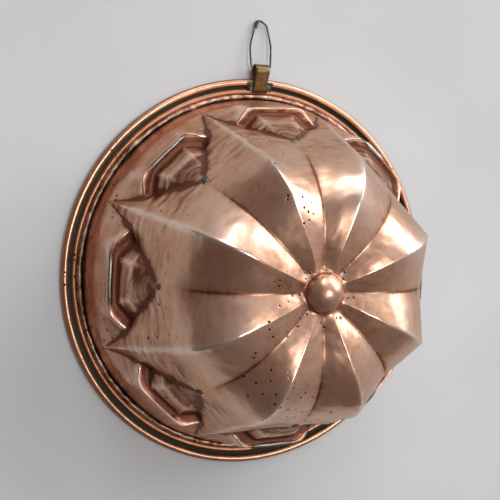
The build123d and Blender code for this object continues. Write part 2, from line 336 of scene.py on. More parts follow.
def copper(name, colours, roughness, hammer, crust=0.0):
    """Copper worked by hand: dark in hollows (painted shade on the sheet, crust in the rim's
    groove), lighter on crests (painted highlight and wear), wiped and pitted.
    """
    material, tree, shader = new_material(name)
    place = add_node(tree, "ShaderNodeTexCoord").outputs["Object"]
    lay = add_node(tree, "ShaderNodeAttribute", attribute_name="lay").outputs["Vector"]
    shade_and_crust, wear_and_highlight, worked = (
        add_node(tree, "ShaderNodeAttribute", attribute_name=mark).outputs["Fac"]
        for mark in ("shade_and_crust", "wear_and_highlight", "worked")
    )
    cloud, smear, grain, patch = (
        add_node(
            tree,
            NOISE,
            {"Vector": vector, "Scale": MM / size, "Detail": detail, "Roughness": rough},
        ).outputs["Fac"]
        for vector, size, detail, rough in (
            (place, FILM_CLOUD, 6.0, 0.62),
            (lay, WIPE_STREAK, 5.0, 0.7),
            (place, POLISH_GRAIN, 4.0, 0.6),
            (place, PIT_PATCH, 2.0, 0.5),
        )
    )
    centred = add_node(tree, MATH, {0: smear, 1: 0.5}, operation="SUBTRACT").outputs[0]
    gouge = add_node(tree, MATH, {0: centred, 1: worked}, operation="MULTIPLY").outputs[0]

    # One cell in five has a pit, and only where a patch of the metal is corroded
    cells = add_node(tree, "ShaderNodeTexVoronoi", {"Vector": place, "Scale": MM / PIT_SPACING})
    chance = add_node(tree, "ShaderNodeSeparateColor", {"Color": cells.outputs["Color"]})
    rare = add_node(tree, MATH, {0: chance.outputs[0], 1: 0.80}, operation="GREATER_THAN")
    corroded, spot = (
        add_node(tree, "ShaderNodeMapRange", {"Value": value, "From Min": low, "From Max": high})
        for value, low, high in ((patch, 0.52, 0.62), (cells.outputs["Distance"], 0.34, 0.16))
    )
    pit = spot.outputs["Result"]
    for part in (rare.outputs[0], corroded.outputs["Result"]):
        pit = add_node(tree, MATH, {0: pit, 1: part}, operation="MULTIPLY").outputs[0]

    # Tone: film clouds and wiping streaks are the copper's own; the lighter crests are a painted
    # highlight with wear, the darker hollows painted shade and crust
    film_and_shade = weighed(
        tree, -0.1, ((cloud, 0.55), (smear, 0.5), (gouge, 0.5), (wear_and_highlight, 0.42), (shade_and_crust, -0.62))
    )
    bright, middle, dull = colours
    film_and_shade = add_node(
        tree,
        "ShaderNodeValToRGB",
        {"Fac": film_and_shade},
        stops=((0.05, dull), (0.42, middle), (0.88, bright)),
    ).outputs["Color"]
    shade = add_node(
        tree, "ShaderNodeMix", {0: pit, 6: film_and_shade, 7: linear(PIT_COLOUR)}, data_type="RGBA"
    ).outputs[2]
    tree.links.new(shade, shader.inputs["Base Color"])
    tree.links.new(weighed(tree, 1.0, ((shade_and_crust, -crust),)), shader.inputs["Metallic"])
    gloss = weighed(
        tree, roughness - 0.08, ((cloud, 0.16), (shade_and_crust, 0.18), (wear_and_highlight, -0.06), (pit, 0.3))
    )
    tree.links.new(gloss, shader.inputs["Roughness"])
    facets = add_node(
        tree,
        "ShaderNodeTexVoronoi",
        {"Vector": place, "Scale": MM / HAMMER_FACET, "Smoothness": 0.6},
        feature="SMOOTH_F1",
    ).outputs["Distance"]
    relief = weighed(
        tree, 0.0, ((facets, hammer), (smear, 0.10), (gouge, 0.9), (grain, 0.05), (pit, -0.35))
    )
    bump = add_node(
        tree, "ShaderNodeBump", {"Height": relief, "Distance": BUMP_DEPTH / MM, "Strength": 0.6}
    ).outputs["Normal"]
    tree.links.new(bump, shader.inputs["Normal"])
    return material


def plain_metal(name):
    """Cast, drawn or dipped metal whose colour and gloss change in small patches."""
    light, dark, roughness, depth, patch = METALS[name]
    material, tree, shader = new_material(name)
    place = add_node(tree, "ShaderNodeTexCoord").outputs["Object"]
    cloud, fine = (
        add_node(
            tree,
            NOISE,
            {"Vector": place, "Scale": scale, "Detail": detail, "Roughness": rough},
        ).outputs["Fac"]
        for scale, detail, rough in ((MM / patch, 6.0, 0.65), (5 * MM / patch, 3.0, 0.5))
    )
    stops = ((0.34, linear(dark)), (0.62, linear(light)))
    colour = add_node(tree, "ShaderNodeValToRGB", {"Fac": cloud}, stops=stops)
    tree.links.new(colour.outputs["Color"], shader.inputs["Base Color"])
    shader.inputs["Metallic"].default_value = 1.0
    gloss = weighed(tree, roughness - 0.12, ((fine, 0.25),))
    tree.links.new(gloss, shader.inputs["Roughness"])
    relief = weighed(tree, cloud, ((fine, 0.4),))
    bump = add_node(
        tree, "ShaderNodeBump", {"Height": relief, "Distance": depth / MM, "Strength": 0.7}
    ).outputs["Normal"]
    tree.links.new(bump, shader.inputs["Normal"])
    return material


def new_object(name, points, faces, material, attributes=None):
    """Mesh object from points in millimetres, smooth shaded, with named point attributes."""
    mesh = bpy.data.meshes.new(name)
    mesh.from_pydata([tuple(p) for p in np.asarray(points) / MM], [], faces)
    mesh.validate()
    mesh.shade_smooth()
    for key, values in (attributes or {}).items():
        values = np.asarray(values, dtype=np.float32)
        kind, field = ("FLOAT_VECTOR", "vector") if values.ndim == 2 else ("FLOAT", "value")
        mesh.attributes.new(key, kind, "POINT").data.foreach_set(field, values.ravel())
    mesh.materials.append(material)
    piece = bpy.data.objects.new(name, mesh)
    bpy.context.scene.collection.objects.link(piece)
    return piece


def fade(value, start, end):
    """Share from 0 at start to 1 at end, held at both."""
    return np.clip((value - start) / (end - start), 0, 1)


def lattice(points, cell, seed):
    """Smooth random values from -1 to 1 on a lattice of cells, in millimetres."""
    table = np.random.default_rng(seed).uniform(-1, 1, (32, 32, 32))
    place = np.asarray(points) / cell + 100
    low = np.floor(place).astype(int)
    f = place - low
    f = f * f * (3 - 2 * f)
    total = np.zeros(len(place))
    for corner in np.ndindex(2, 2, 2):
        index = (low + corner) % 32
        weight = np.prod(np.where(corner, f, 1 - f), axis=1)
        total += weight * table[index[:, 0], index[:, 1], index[:, 2]]
    return total


def uneven(points, layers):
    """Sum of lattices, each with its own cell, depth and seed."""
    return sum(depth * lattice(points, cell, seed) for cell, depth, seed in layers)


def planished(points, cell, seed):
    """Distance to the nearest hammer blow, from 0 to about 1, in scattered cells."""
    table = np.random.default_rng(seed).uniform(0, 1, (32, 32, 32, 3))
    place = np.asarray(points) / cell + 100
    low = np.floor(place).astype(int)
    nearest = np.full(len(place), np.inf)
    for step in np.ndindex(3, 3, 3):
        index = low + step - 1
        wrapped = index % 32
        blow = index + table[wrapped[:, 0], wrapped[:, 1], wrapped[:, 2]]
        nearest = np.minimum(nearest, np.linalg.norm(place - blow, axis=1))
    return nearest


def grid_faces(rows, columns, closed_rows=False, closed_columns=True):
    """Quads over a grid of points numbered row by row."""
    faces = []
    for i in range(rows if closed_rows else rows - 1):
        for j in range(columns if closed_columns else columns - 1):
            a, b = i * columns + j, i * columns + (j + 1) % columns
            below = (i + 1) % rows
            faces.append((a, b, below * columns + (j + 1) % columns, below * columns + j))
    return faces


def flipped(faces):
    return [tuple(face[::-1]) for face in faces]


def around(radius, turn, height):
    """Rows of x, y and z from grids of radius, direction in radians and height."""
    radius, turn, height = np.broadcast_arrays(radius, turn, height)
    grid = np.stack([radius * np.cos(turn), radius * np.sin(turn), height], axis=-1)
    return grid.reshape(-1, 3)


def turned(radius, angle, height, sector, side):
    """Point at a radius and an angle from a valley, moved with the given valley and ridge."""
    valley = 2 * HALF_LOBE * sector + VALLEY_TURN[sector]
    neighbour = sector if side > 0 else (sector - 1) % LOBES
    ridge = 2 * HALF_LOBE * sector + side * HALF_LOBE + RIDGE_TURN[neighbour]
    a = radians(valley + (ridge - valley) * angle / HALF_LOBE)
    return Vector((radius * cos(a), radius * sin(a), height))


def cage_key(label, sector, side):
    """What tells one cage point from the next: halves share valleys, lobes share ridges."""
    if label == "pole":
        return (label,)
    in_rows = label.startswith(("row", "knob"))
    if label in RIDGE_LINE or in_rows and label.endswith(f"_{COLUMNS}"):
        return (label, sector if side > 0 else (sector - 1) % LOBES)
    if label in VALLEY_LINE or in_rows and label.endswith("_0"):
        return (label, sector)
    return (label, sector, side)


def cage_place(label, sector, side):
    """Where a named cage point stands."""
    if label == "pole":
        return Vector((0, 0, POLE_HEIGHT))
    if label in FOOT_POINTS:
        out, across, height = FOOT_POINTS[label]
        angle = degrees(np.arctan2(across, out))
        return turned(np.hypot(out, across), angle, height, sector, side)
    if label in POLAR_POINTS:
        return turned(*POLAR_POINTS[label], sector, side)
    part, row, column = label.split("_")
    row, share = int(row), int(column) / COLUMNS
    if part == "knob":
        radius, height = KNOB_ROWS[row]
        return turned(radius, HALF_LOBE * share, height, sector, side)
    (valley_radius, valley_height), (ridge_radius, ridge_height) = LOBE_ROWS[row]
    if row == 0:
        radius = valley_radius + share * (ridge_radius - valley_radius)
        height = valley_height + share * (ridge_height - valley_height)
        return turned(radius, HALF_LOBE * share, height, sector, side)
    valley = turned(valley_radius, 0, valley_height, sector, side)
    ridge = turned(ridge_radius, HALF_LOBE, ridge_height, sector, side)
    return valley.lerp(ridge, share) + Vector((0, 0, PUFF * share * (1 - share)))


def cage():
    """Control cage of the sheet: points, faces and the sharpness of edges."""
    index = {}
    points = []

    def number(label, sector, side):
        key = cage_key(label, sector, side)
        if key not in index:
            index[key] = len(points)
            points.append(cage_place(label, sector, side))
        return index[key]

    stack = [f"knob_{i}" for i in range(len(KNOB_ROWS))]
    stack += [f"row_{i}" for i in range(len(LOBE_ROWS))]
    half = []
    for a in range(COLUMNS):
        b = a + 1
        half.append((f"knob_0_{a}", f"knob_0_{b}", "pole"))
        for upper, lower in zip(stack, stack[1:]):
            half.append((f"{lower}_{a}", f"{lower}_{b}", f"{upper}_{b}", f"{upper}_{a}"))
    half += FOOT_FACES
    faces = []
    sharp = {}
    for sector in range(LOBES):
        for side in (1, -1):
            for face in half:
                loop = [number(label, sector, side) for label in face]
                faces.append(loop if side > 0 else loop[::-1])
            for weight, run in CREASES:
                for a, b in zip(run, run[1:]):
                    edge = (number(a, sector, side), number(b, sector, side))
                    sharp[tuple(sorted(edge))] = weight
    return points, faces, sharp


def smoothed_cage(levels):
    """The cage after Catmull-Clark steps, as arrays of points and quads."""
    points, faces, sharp = cage()
    mesh = bpy.data.meshes.new("cage")
    mesh.from_pydata([tuple(p) for p in points], [], faces)
    crease = mesh.attributes.new("crease_edge", "FLOAT", "EDGE")
    weights = [sharp.get(tuple(sorted(edge.vertices)), 0.0) for edge in mesh.edges]
    crease.data.foreach_set("value", weights)
    holder = bpy.data.objects.new("cage", mesh)
    bpy.context.scene.collection.objects.link(holder)
    steps = holder.modifiers.new("steps", "SUBSURF")
    steps.levels = steps.render_levels = levels
    steps.boundary_smooth = "PRESERVE_CORNERS"
    graph = bpy.context.evaluated_depsgraph_get()
    fine = bpy.data.meshes.new_from_object(holder.evaluated_get(graph))
    place = np.empty(len(fine.vertices) * 3)
    fine.vertices.foreach_get("co", place)
    quads = np.empty(len(fine.polygons) * 4, dtype=int)
    fine.loops.foreach_get("vertex_index", quads)
    bpy.data.objects.remove(holder)
    return place.reshape(-1, 3), quads.reshape(-1, 4)


def quad_edges(quads):
    return np.vstack([quads[:, [i, (i + 1) % 4]] for i in range(4)])


def point_normals(points, quads):
    """Normal of each point, weighed by the size of the faces round it."""
    a, b, c, d = (points[quads[:, i]] for i in range(4))
    square = np.cross(c - a, d - b)
    total = np.zeros_like(points)
    for i in range(4):
        np.add.at(total, quads[:, i], square)
    return total / np.maximum(np.linalg.norm(total, axis=1, keepdims=True), 1e-12)


def relief_of(points, quads, normals, steps):
    """How far each point stands over its own neighbourhood: crests positive, hollows negative."""
    pairs = quad_edges(quads)
    pairs = np.vstack([pairs, pairs[:, ::-1]])
    count = np.bincount(pairs[:, 0], minlength=len(points))[:, None]
    flat = points.copy()
    for _ in range(steps):
        total = np.zeros_like(flat)
        for axis in range(3):
            total[:, axis] = np.bincount(
                pairs[:, 0], weights=flat[pairs[:, 1], axis], minlength=len(points)
            )
        flat = 0.5 * flat + 0.5 * total / count
    return np.einsum("ij,ij->i", points - flat, normals)


def round_crown(points, radius):
    """Let the knob's crown follow the bend of its belt, so that it does not end in a tip."""
    belt = (radius > CROWN_BELT[0]) & (radius < CROWN_BELT[1])
    bend, crown = np.polyfit(radius[belt] ** 2, points[belt, 2], 1)
    cap = radius < CROWN_RADIUS
    points[cap, 2] = crown + bend * radius[cap] ** 2


def panel_shade(points, radius):
    """Painted shade on the flat brow over each panel and on the tread of its step."""
    turn = np.arctan2(points[:, 1], points[:, 0])
    number = np.round(turn / radians(2 * HALF_LOBE)).astype(int) % LOBES
    turn -= np.radians(2 * HALF_LOBE * number + np.array(VALLEY_TURN)[number])
    out, across, height = radius * np.cos(turn), abs(radius * np.sin(turn)), points[:, 2]
    brow_top = LOBE_ROWS[-1][0][1]
    _, half_width, brow_foot = FOOT_POINTS["step_end"]
    slope = half_width / (brow_top - brow_foot)
    panel = np.clip(slope * (brow_top - height) - across, 0, 1)
    brow = np.clip(height - BROW_FOOT, 0, 1)
    low, high = TREAD_BAND
    tread = (out > TREAD_RADIUS) * np.clip(height - low, 0, 1) * np.clip(high - height, 0, 1)
    return panel * (SHADE_ON_BROW * brow + SHADE_ON_TREAD * tread)


def two_sided(quads, count):
    """Faces of a sheet whose inner points follow its outer ones, closed along the open edge."""
    loose = {}
    for a, b in quad_edges(quads):
        key = (min(a, b), max(a, b))
        loose[key] = None if key in loose else (a, b)
    border = [(b, a, a + count, b + count) for a, b in filter(None, loose.values())]
    return quads.tolist() + (quads[:, ::-1] + count).tolist() + border


def length(name, description, default):
    """Property for a length in metres."""
    return bpy.props.FloatProperty(
        name=name, description=description, default=default, precision=5, subtype="DISTANCE"
    )


def colour_of(name, description, hexcode):
    """Property for a colour, written as sRGB hex."""
    return bpy.props.FloatVectorProperty(
        name=name, description=description, default=linear(hexcode), size=4, subtype="COLOR"
    )


class MouldSettings(bpy.types.PropertyGroup):
    levels: bpy.props.IntProperty(
        name="Sheet detail", description="Subdivision steps of the raised sheet", default=3, min=2
    )
    dent: length("Dents", "Depth of the broad dents of the sheet", 0.00055)
    blow: length("Hammer marks", "Depth of the planishing marks", 0.00016)
    fold: length("Folds", "Depth of the folds and scratches low on the sheet", 0.00042)
    blow_cell: length("Hammer spacing", "Distance between hammer marks", 0.0075)
    roughness: bpy.props.FloatProperty(
        name="Copper roughness",
        description="Roughness of the polished copper",
        default=0.30,
        min=0.0,
        max=1.0,
        subtype="FACTOR",
    )
    # Lightest copper, laid on the crests as a painted highlight as well as rubbed wear
    worn_and_highlit: colour_of("Worn copper", "Colour of crests that are rubbed bright", "#fde3d3")
    filmed: colour_of("Copper", "Colour of copper under a thin film", "#e2b195")
    # Darkest copper, the painted shade in the sheet's valleys, hollows and dents
    dull: colour_of("Dull copper", "Colour of the brown film in hollows", "#7a4b37")


class StageSettings(bpy.types.PropertyGroup):
    lens: bpy.props.FloatProperty(
        name="Lens",
        description="Focal length of the camera",
        default=57.6,
        subtype="DISTANCE_CAMERA",
    )
    world: bpy.props.FloatProperty(
        name="Room light", description="Strength of the light of the room", default=0.95, min=0.0
    )
    key: bpy.props.FloatProperty(
        name="Window",
        description="Power of the large lamp that stands for the window",
        default=66.0,
        subtype="POWER",
    )


class MOULD_OT_sheet(bpy.types.Operator):
    """Raised copper sheet: knob, eight roof-shaped lobes, stepped panels and wall"""

    bl_idname = "mould.sheet"
    bl_label = "Raised sheet"

    def execute(self, context):
        settings = context.scene.mould
        points, quads = smoothed_cage(settings.levels)
        count = len(points)
        if not count:
            raise RuntimeError("the cage has no points")
        radius = np.hypot(points[:, 0], points[:, 1]).clip(0.1)
        round_crown(points, radius)
        normals = point_normals(points, quads)
        near = relief_of(points, quads, normals, CREST_STEPS)
        broad = relief_of(points, quads, normals, HOLLOW_STEPS)
        # Painted shade on each panel's brow and tread
        film_and_shade = panel_shade(points, radius)

        # Nearly all of the marks go inward, and they leave the soldered foot as it is
        swell = uneven(points, SWELL_LAYERS)
        blows = planished(points, MM * settings.blow_cell, BLOW_SEED) - 0.5
        shift = -settings.dent * (0.9 + 0.7 * swell) + settings.blow * blows
        # In "lay" a mark is long round the axis and short down the sheet, most so near the rim
        run = radius - points[:, 2]
        lay = points * (LAY_RADIUS / radius.clip(LAY_RADIUS))[:, None]
        lay[:, 2] = run + uneven(points, SWAY_LAYERS)
        below = fade(run, 5, 19) * fade(run, 88, 68)
        folds = lattice(lay, FOLD_CELL, FOLD_SEED)
        folds += 0.5 * lattice(lay * (1.2, 1.2, 1.0), SCRATCH_CELL, SCRATCH_SEED)
        folds = (0.25 + 0.75 * below) * fade(radius, 10, 18) * (folds - 0.8)
        shift = MM * (shift + settings.fold * folds) * fade(points[:, 2], 1.5, 9.5)
        points = points + normals * shift[:, None]
        points[:, 2] = np.minimum(points[:, 2], TOP)

        normals = point_normals(points, quads)
        # Painted shade: darker in the valleys, in broad hollows and dents, at the foot of the wall
        # and on the panels, where the metal is also dulled
        dents = fade(-relief_of(points, quads, normals, DENT_STEPS), 0, 0.25)
        shade_and_crust = SHADE_IN_VALLEYS * fade(-near, 0.05, 0.27) + SHADE_IN_HOLLOWS * fade(-broad, 0, 2.6)
        shade_and_crust += SHADE_IN_DENTS * dents + np.exp(-points[:, 2] / 4) + film_and_shade
        # Painted highlight with some wear: the copper is lighter along the ridges
        wear_and_highlight = fade(near, 0.04, 0.24)
        # Raised by hammer and polished by use: warm and bright on crests with a painted highlight,
        # brown with painted shade in the hollows
        colours = [tuple(colour) for colour in (settings.worn_and_highlit, settings.filmed, settings.dull)]
        sheet = new_object(
            "raised_sheet",
            np.vstack([points, points - normals * SHEET]),
            two_sided(quads, count),
            copper("raised_copper", colours, settings.roughness, hammer=0.30, crust=0.35),
            {
                "shade_and_crust": np.concatenate([shade_and_crust.clip(0, 1), np.zeros(count)]),
                "wear_and_highlight": np.concatenate([wear_and_highlight, np.zeros(count)]),
                "worked": np.concatenate([below, below]),
                "lay": np.vstack([lay, lay]) / MM,
            },
        )
        sheet.data.materials.append(plain_metal("wiped_tin_lining"))
        inside = np.zeros(len(sheet.data.polygons), dtype=np.int32)
        inside[len(quads) : 2 * len(quads)] = 1
        sheet.data.polygons.foreach_set("material_index", inside)
        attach(sheet, "mould")
        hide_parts("mould_body")
        return {"FINISHED"}


def arc(centre, radius, start, span, steps):
    """Points of a round stretch in the radius and height plane."""
    turn = np.radians(np.linspace(start, start + span, steps + 1))
    return np.stack([centre[0] + radius * np.cos(turn), centre[1] + radius * np.sin(turn)], axis=1)


def ring(profile, columns, shift):
    """Revolve a closed profile of (radius, height) points; shift moves them all."""
    turn = np.linspace(0, tau, columns, endpoint=False)
    radius = profile[:, 0][:, None] + np.zeros(columns)
    height = profile[:, 1][:, None] + np.zeros(columns)
    radius, height = shift(radius, height, turn)
    return around(radius, turn, height), grid_faces(len(profile), columns, closed_rows=True)


def rim_wobble(radius, height, turn):
    """Let the swage and the rolled edge sink a little and unevenly, as a hand-rolled edge does."""
    drop = 0.15 + uneven(around(radius, turn, 3 * height), RIM_LAYERS).reshape(radius.shape)
    drop = fade(height, 0.4, 1.6) * drop
    return radius - drop * (radius > 113), height - drop


def seam_lumps(radius, height, turn):
    """Swell and shrink the seam along its run."""
    size = 0.96 + uneven(around(radius, turn, height), SEAM_LAYERS).reshape(radius.shape)
    radius = SEAM_CENTRE[0] + (radius - SEAM_CENTRE[0]) * size
    height = SEAM_CENTRE[1] + (height - SEAM_CENTRE[1]) * size
    return np.maximum(radius, FLANGE_INNER + 0.15), np.maximum(height, RIM_SHEET + 0.05)


class MOULD_OT_rim(bpy.types.Operator):
    """Rim: flange with a swaged bead and an edge rolled round its wire"""

    bl_idname = "mould.rim"
    bl_label = "Rim"

    def execute(self, context):
        ball = (SWAGE_HALF_WIDTH**2 + SWAGE_RISE**2) / (2 * SWAGE_RISE)
        half = degrees(asin(SWAGE_HALF_WIDTH / ball))
        top = arc((SWAGE_RADIUS, RIM_SHEET + SWAGE_RISE - ball), ball, 90 - half, 2 * half, 14)
        flat = (FLANGE_INNER + FLANGE_FLAT, FLANGE_INNER)
        profile = np.vstack(
            [
                arc(BEAD_CENTRE, BEAD_RADIUS, -90, CURL_TURN, 28),
                arc(BEAD_CENTRE, CURL_BORE, CURL_TURN - 90, -CURL_TURN, 16),
                top,
                [(radius, RIM_SHEET) for radius in flat],
                [(radius, 0.0) for radius in flat[::-1]],
                top[::-1] - (0, RIM_SHEET),
            ]
        )
        points, faces = ring(profile, 540, rim_wobble)
        radius = np.hypot(points[:, 0], points[:, 1])
        groove = np.exp(-(((radius - GROOVE_RADIUS) / GROOVE_SPREAD) ** 2))
        groove *= points[:, 2] < GROOVE_TOP
        colours = [linear(colour) for colour in RIM_COLOURS]
        rolled = new_object(
            "rolled_rim",
            points,
            flipped(faces),
            copper("rim_copper", colours, 0.36, hammer=0.10, crust=0.85),
            {
                "shade_and_crust": np.clip(1.5 * groove, 0, 1),
                # Painted highlight with rubbing: lighter along the top of the rolled edge
                "wear_and_highlight": fade(points[:, 2], *RUBBED_AND_LIT_BAND),
                "lay": points / MM,
            },
        )
        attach(rolled, "mould")
        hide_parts("rim_ring")
        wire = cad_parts["core_wire"]
        wire.data.materials.clear()
        wire.data.materials.append(plain_metal("drawn_iron"))
        return {"FINISHED"}


def stud_points(spot, normal, size, rise, number):
    """Uneven low dome of solder in millimetres, seated on a spot of the sheet."""
    tilt = normal.to_track_quat("Z", "Y").to_matrix()
    points = []
    for i in range(STUD_RINGS + 1):
        reach = i / STUD_RINGS
        height = rise * (1 - reach**2.6) - 0.35 * reach**6 - 0.12 * reach
        for j in range(STUD_SIDES):
            t = tau * j / STUD_SIDES
            uneven = 1 + 0.09 * sin(2 * t + number) + 0.05 * sin(3 * t + 2 * number)
            out = size * uneven * reach
            points.append(tilt @ Vector((out * cos(t), out * sin(t), height)) + spot * MM)
    return points


class MOULD_OT_solder(bpy.types.Operator):
    """Solder: lumpy seam at the wall's foot and the plugs in the valleys"""

    bl_idname = "mould.solder"
    bl_label = "Solder"

    def execute(self, context):
        profile = np.vstack([arc(SEAM_CENTRE, SEAM_RADIUS, -30, 185, 18), SEAM_ROOT])
        points, faces = ring(profile, 900, seam_lumps)
        seam = new_object("lumpy_seam", points, flipped(faces), plain_metal("lumpy_solder"))
        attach(seam, "mould")
        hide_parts("seam_solder")

        sheet = bpy.data.objects.get("raised_sheet")
        if sheet is None:
            raise RuntimeError("the raised sheet comes before its plugs")
        surface = BVHTree.FromObject(sheet, context.evaluated_depsgraph_get())
        grey = plain_metal("plug_solder")
        ends = [
            (END_RADIUS, 2 * HALF_LOBE * k + VALLEY_TURN[k], END_SIZES[k]) for k in range(LOBES)
        ]
        dots = [(radius, turn, 1.0 + 0.25 * sin(7 * turn)) for radius, turn in DOTS]
        for name, places, node, rise in (
            ("valley_end_studs", ends, "valley_end_plugs", END_RISE),
            ("knob_foot_studs", dots, "knob_foot_plugs", DOT_RISE),
        ):
            points, faces = [], []
            for number, (radius, turn, size) in enumerate(places):
                a = radians(turn)
                start = Vector((radius * cos(a), radius * sin(a), 1.5 * TOP)) / MM
                spot, normal, _, _ = surface.ray_cast(start, Vector((0, 0, -1)))
                if spot is None:
                    raise RuntimeError("a plug has no sheet under it")
                base = len(points)
                points += stud_points(spot, normal, size, rise, number)
                faces += [
                    tuple(base + n for n in face) for face in grid_faces(STUD_RINGS + 1, STUD_SIDES)
                ]
            studs = new_object(name, [tuple(p) for p in points], flipped(faces), grey)
            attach(studs, "mould")
            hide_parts(node)
        return {"FINISHED"}


def rounded(corners, bends, steps=10):
    """Polyline whose inner corners are rounded by arcs of the given radii."""
    corners = [np.asarray(c, dtype=float) for c in corners]
    path = [corners[0]]
    for before, corner, after, bend in zip(corners, corners[1:], corners[2:], bends):
        u = (before - corner) / np.linalg.norm(before - corner)
        v = (after - corner) / np.linalg.norm(after - corner)
        half = np.arccos(np.clip(u @ v, -1, 1)) / 2
        reach = bend / np.tan(half)
        middle = (u + v) / np.linalg.norm(u + v)
        centre = corner + middle * bend / np.sin(half)
        first, last = corner + u * reach - centre, corner + v * reach - centre
        opening = pi - 2 * half
        for i in range(steps + 1):
            t = i / steps
            mix = np.sin((1 - t) * opening) * first + np.sin(t * opening) * last
            path.append(centre + mix / np.sin(opening))
    path.append(corners[-1])
    return np.array(path)


def end_caps(rows, columns):
    """The two faces that close a swept piece."""
    last = (rows - 1) * columns
    return [tuple(range(columns))[::-1], tuple(range(last, last + columns))]


def tube(path, radius, sides):
    """Round wire along a path, with closed ends: points and faces."""
    along = np.gradient(path, axis=0)
    along /= np.linalg.norm(along, axis=1, keepdims=True)
    across = np.cross(along[0], (0.3, 0.2, 0.9))
    points = []
    for spot, direction in zip(path, along):
        across = across - direction * (across @ direction)
        across /= np.linalg.norm(across)
        other = np.cross(direction, across)
        for j in range(sides):
            t = tau * j / sides
            points.append(spot + radius * (cos(t) * across + sin(t) * other))
    return np.array(points), flipped(grid_faces(len(path), sides)) + end_caps(len(path), sides)


def strap():
    """Strap from the swage over the rolled edge and round into its eye: points and faces."""
    top = 2 * BEAD_RADIUS + 0.2 + STRAP_SHEET / 2
    run, lift = EYE_CENTRE[0] - BEAD_CENTRE[0], EYE_CENTRE[1] - top
    rise = degrees(np.arctan2(lift, run) + asin(EYE_RADIUS / np.hypot(run, lift)))
    curl = arc(EYE_CENTRE, EYE_RADIUS, 90 + rise, -EYE_SPAN, 34)
    line = rounded([STRAP_START, (BEAD_CENTRE[0], top), tuple(curl[0])], [STRAP_BEND], 6)
    line = np.vstack([line, curl[1:]])
    along = np.gradient(line, axis=0)
    along /= np.linalg.norm(along, axis=1, keepdims=True)
    up = np.stack([-along[:, 1], along[:, 0]], axis=1)

    half, thick, corner = STRAP_WIDTH / 2, STRAP_SHEET / 2, 0.25
    flats = (corner - half, -half / 2, 0, half / 2, half - corner)
    edge = thick - corner
    section = [(x, thick) for x in flats] + [(half, edge), (half, -edge)]
    section += [(-x, -thick) for x in flats] + [(-half, -edge), (-half, edge)]
    points = []
    for i, (spot, normal) in enumerate(zip(line, up)):
        filed = 0.97 - 0.05 * abs(sin(0.7 * i))
        for x, offset in section:
            y, z = spot + normal * offset
            points.append((x * filed, y, z))
    count = len(section)
    return points, grid_faces(len(line), count) + end_caps(len(line), count)


def strap_solder():
    """Solder that fills the groove under the strap and stands in lumps beside it."""
    rows, columns = 15, 61
    reach = np.linspace(*SOLDER_REACH, rows)
    turn = np.radians(np.linspace(90 - SOLDER_HALF_TURN, 90 + SOLDER_HALF_TURN, columns))
    r, t = np.meshgrid(reach, turn, indexing="ij")
    ends = fade(radians(SOLDER_HALF_TURN) - abs(t - pi / 2), 0, radians(1.3)) ** 0.5
    bead = np.sqrt(np.clip(BEAD_RADIUS**2 - (r - BEAD_CENTRE[0]) ** 2, 0, None))
    flange = RIM_SHEET + 0.05
    below = np.where(r > BEAD_CENTRE[0] - BEAD_RADIUS, BEAD_CENTRE[1] + bead - 0.35, flange)
    below = np.maximum(below, flange)
    lump = uneven(around(r, t, 0), LUMP_LAYERS).reshape(r.shape)
    beside = abs(r * np.cos(t)) > STRAP_WIDTH / 2 - 0.2
    level = 2.9 + (r - SWAGE_RADIUS) * 0.266
    level = np.where(beside, level + 0.45 + lump, level - 0.1)
    above = below + (np.maximum(level, below + 0.05) - below) * ends
    above = np.minimum(above, SOLDER_TOP)
    points = np.vstack([around(r, t, above), around(r, t, below - 0.04)])
    faces = flipped(grid_faces(rows, columns, closed_columns=False))
    faces += [tuple(r.size + n for n in face[::-1]) for face in faces]
    return points, faces


def twist(phase, start, stop, steps=26):
    """One strand of the loop's twisted ends, from a share to a share of its length."""
    low, lean = np.array(TWIST_START), np.array(TWIST_LEAN)
    side = np.array((lean[1], -lean[0]))
    strand = []
    for s in np.linspace(start, stop, steps):
        angle = phase + tau * TWIST_TURNS * s
        flat = low + lean * TWIST_LENGTH * s + side * TWIST_PITCH * cos(angle)
        strand.append((flat[0], flat[1], TWIST_PITCH * sin(angle)))
    return strand


def loop_path():
    """Middle line of the wire: one twisted end, the legs with the bar in the eye, the other end."""
    legs = [(u, v, 0.0) for u, v in rounded(LOOP_CORNERS, LOOP_BENDS)]
    wire = np.array(twist(pi, 1.0, 0.06) + legs + twist(0.0, 0.98, 0.0))
    for _ in range(3):
        wire[1:-1] = 0.5 * wire[1:-1] + 0.25 * (wire[:-2] + wire[2:])
    wire[:, 1] = np.minimum(wire[:, 1], LOOP_REACH)
    drop = radians(LOOP_DROP)
    out = PIVOT[0] + wire[:, 1] * cos(drop) + wire[:, 2] * sin(drop)
    up = PIVOT[1] - wire[:, 1] * sin(drop) + wire[:, 2] * cos(drop)
    return np.stack([wire[:, 0], out, up], axis=1)


class MOULD_OT_hanger(bpy.types.Operator):
    """Hanger: strap rolled into an eye, its solder and the twisted wire loop"""

    bl_idname = "mould.hanger"
    bl_label = "Hanger"

    def execute(self, context):
        points, faces = strap()
        colours = [linear(colour) for colour in STRAP_COLOURS]
        metal = copper("strap_copper", colours, 0.38, hammer=0.12)
        lay = {"lay": np.array(points) / MM}
        rolled = new_object("rolled_strap", points, faces, metal, lay)
        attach(rolled, "mould")
        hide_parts("hanger_strap")

        joint = new_object("hanger_lumps", *strap_solder(), plain_metal("verdigris_solder"))
        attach(joint, "mould")
        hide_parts("hanger_solder")

        points, faces = tube(loop_path(), 0.97 * WIRE_RADIUS, 14)
        loop = new_object("twisted_loop", points, faces, plain_metal("drawn_steel"))
        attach(loop, "loop")
        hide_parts("hanging_loop")
        return {"FINISHED"}


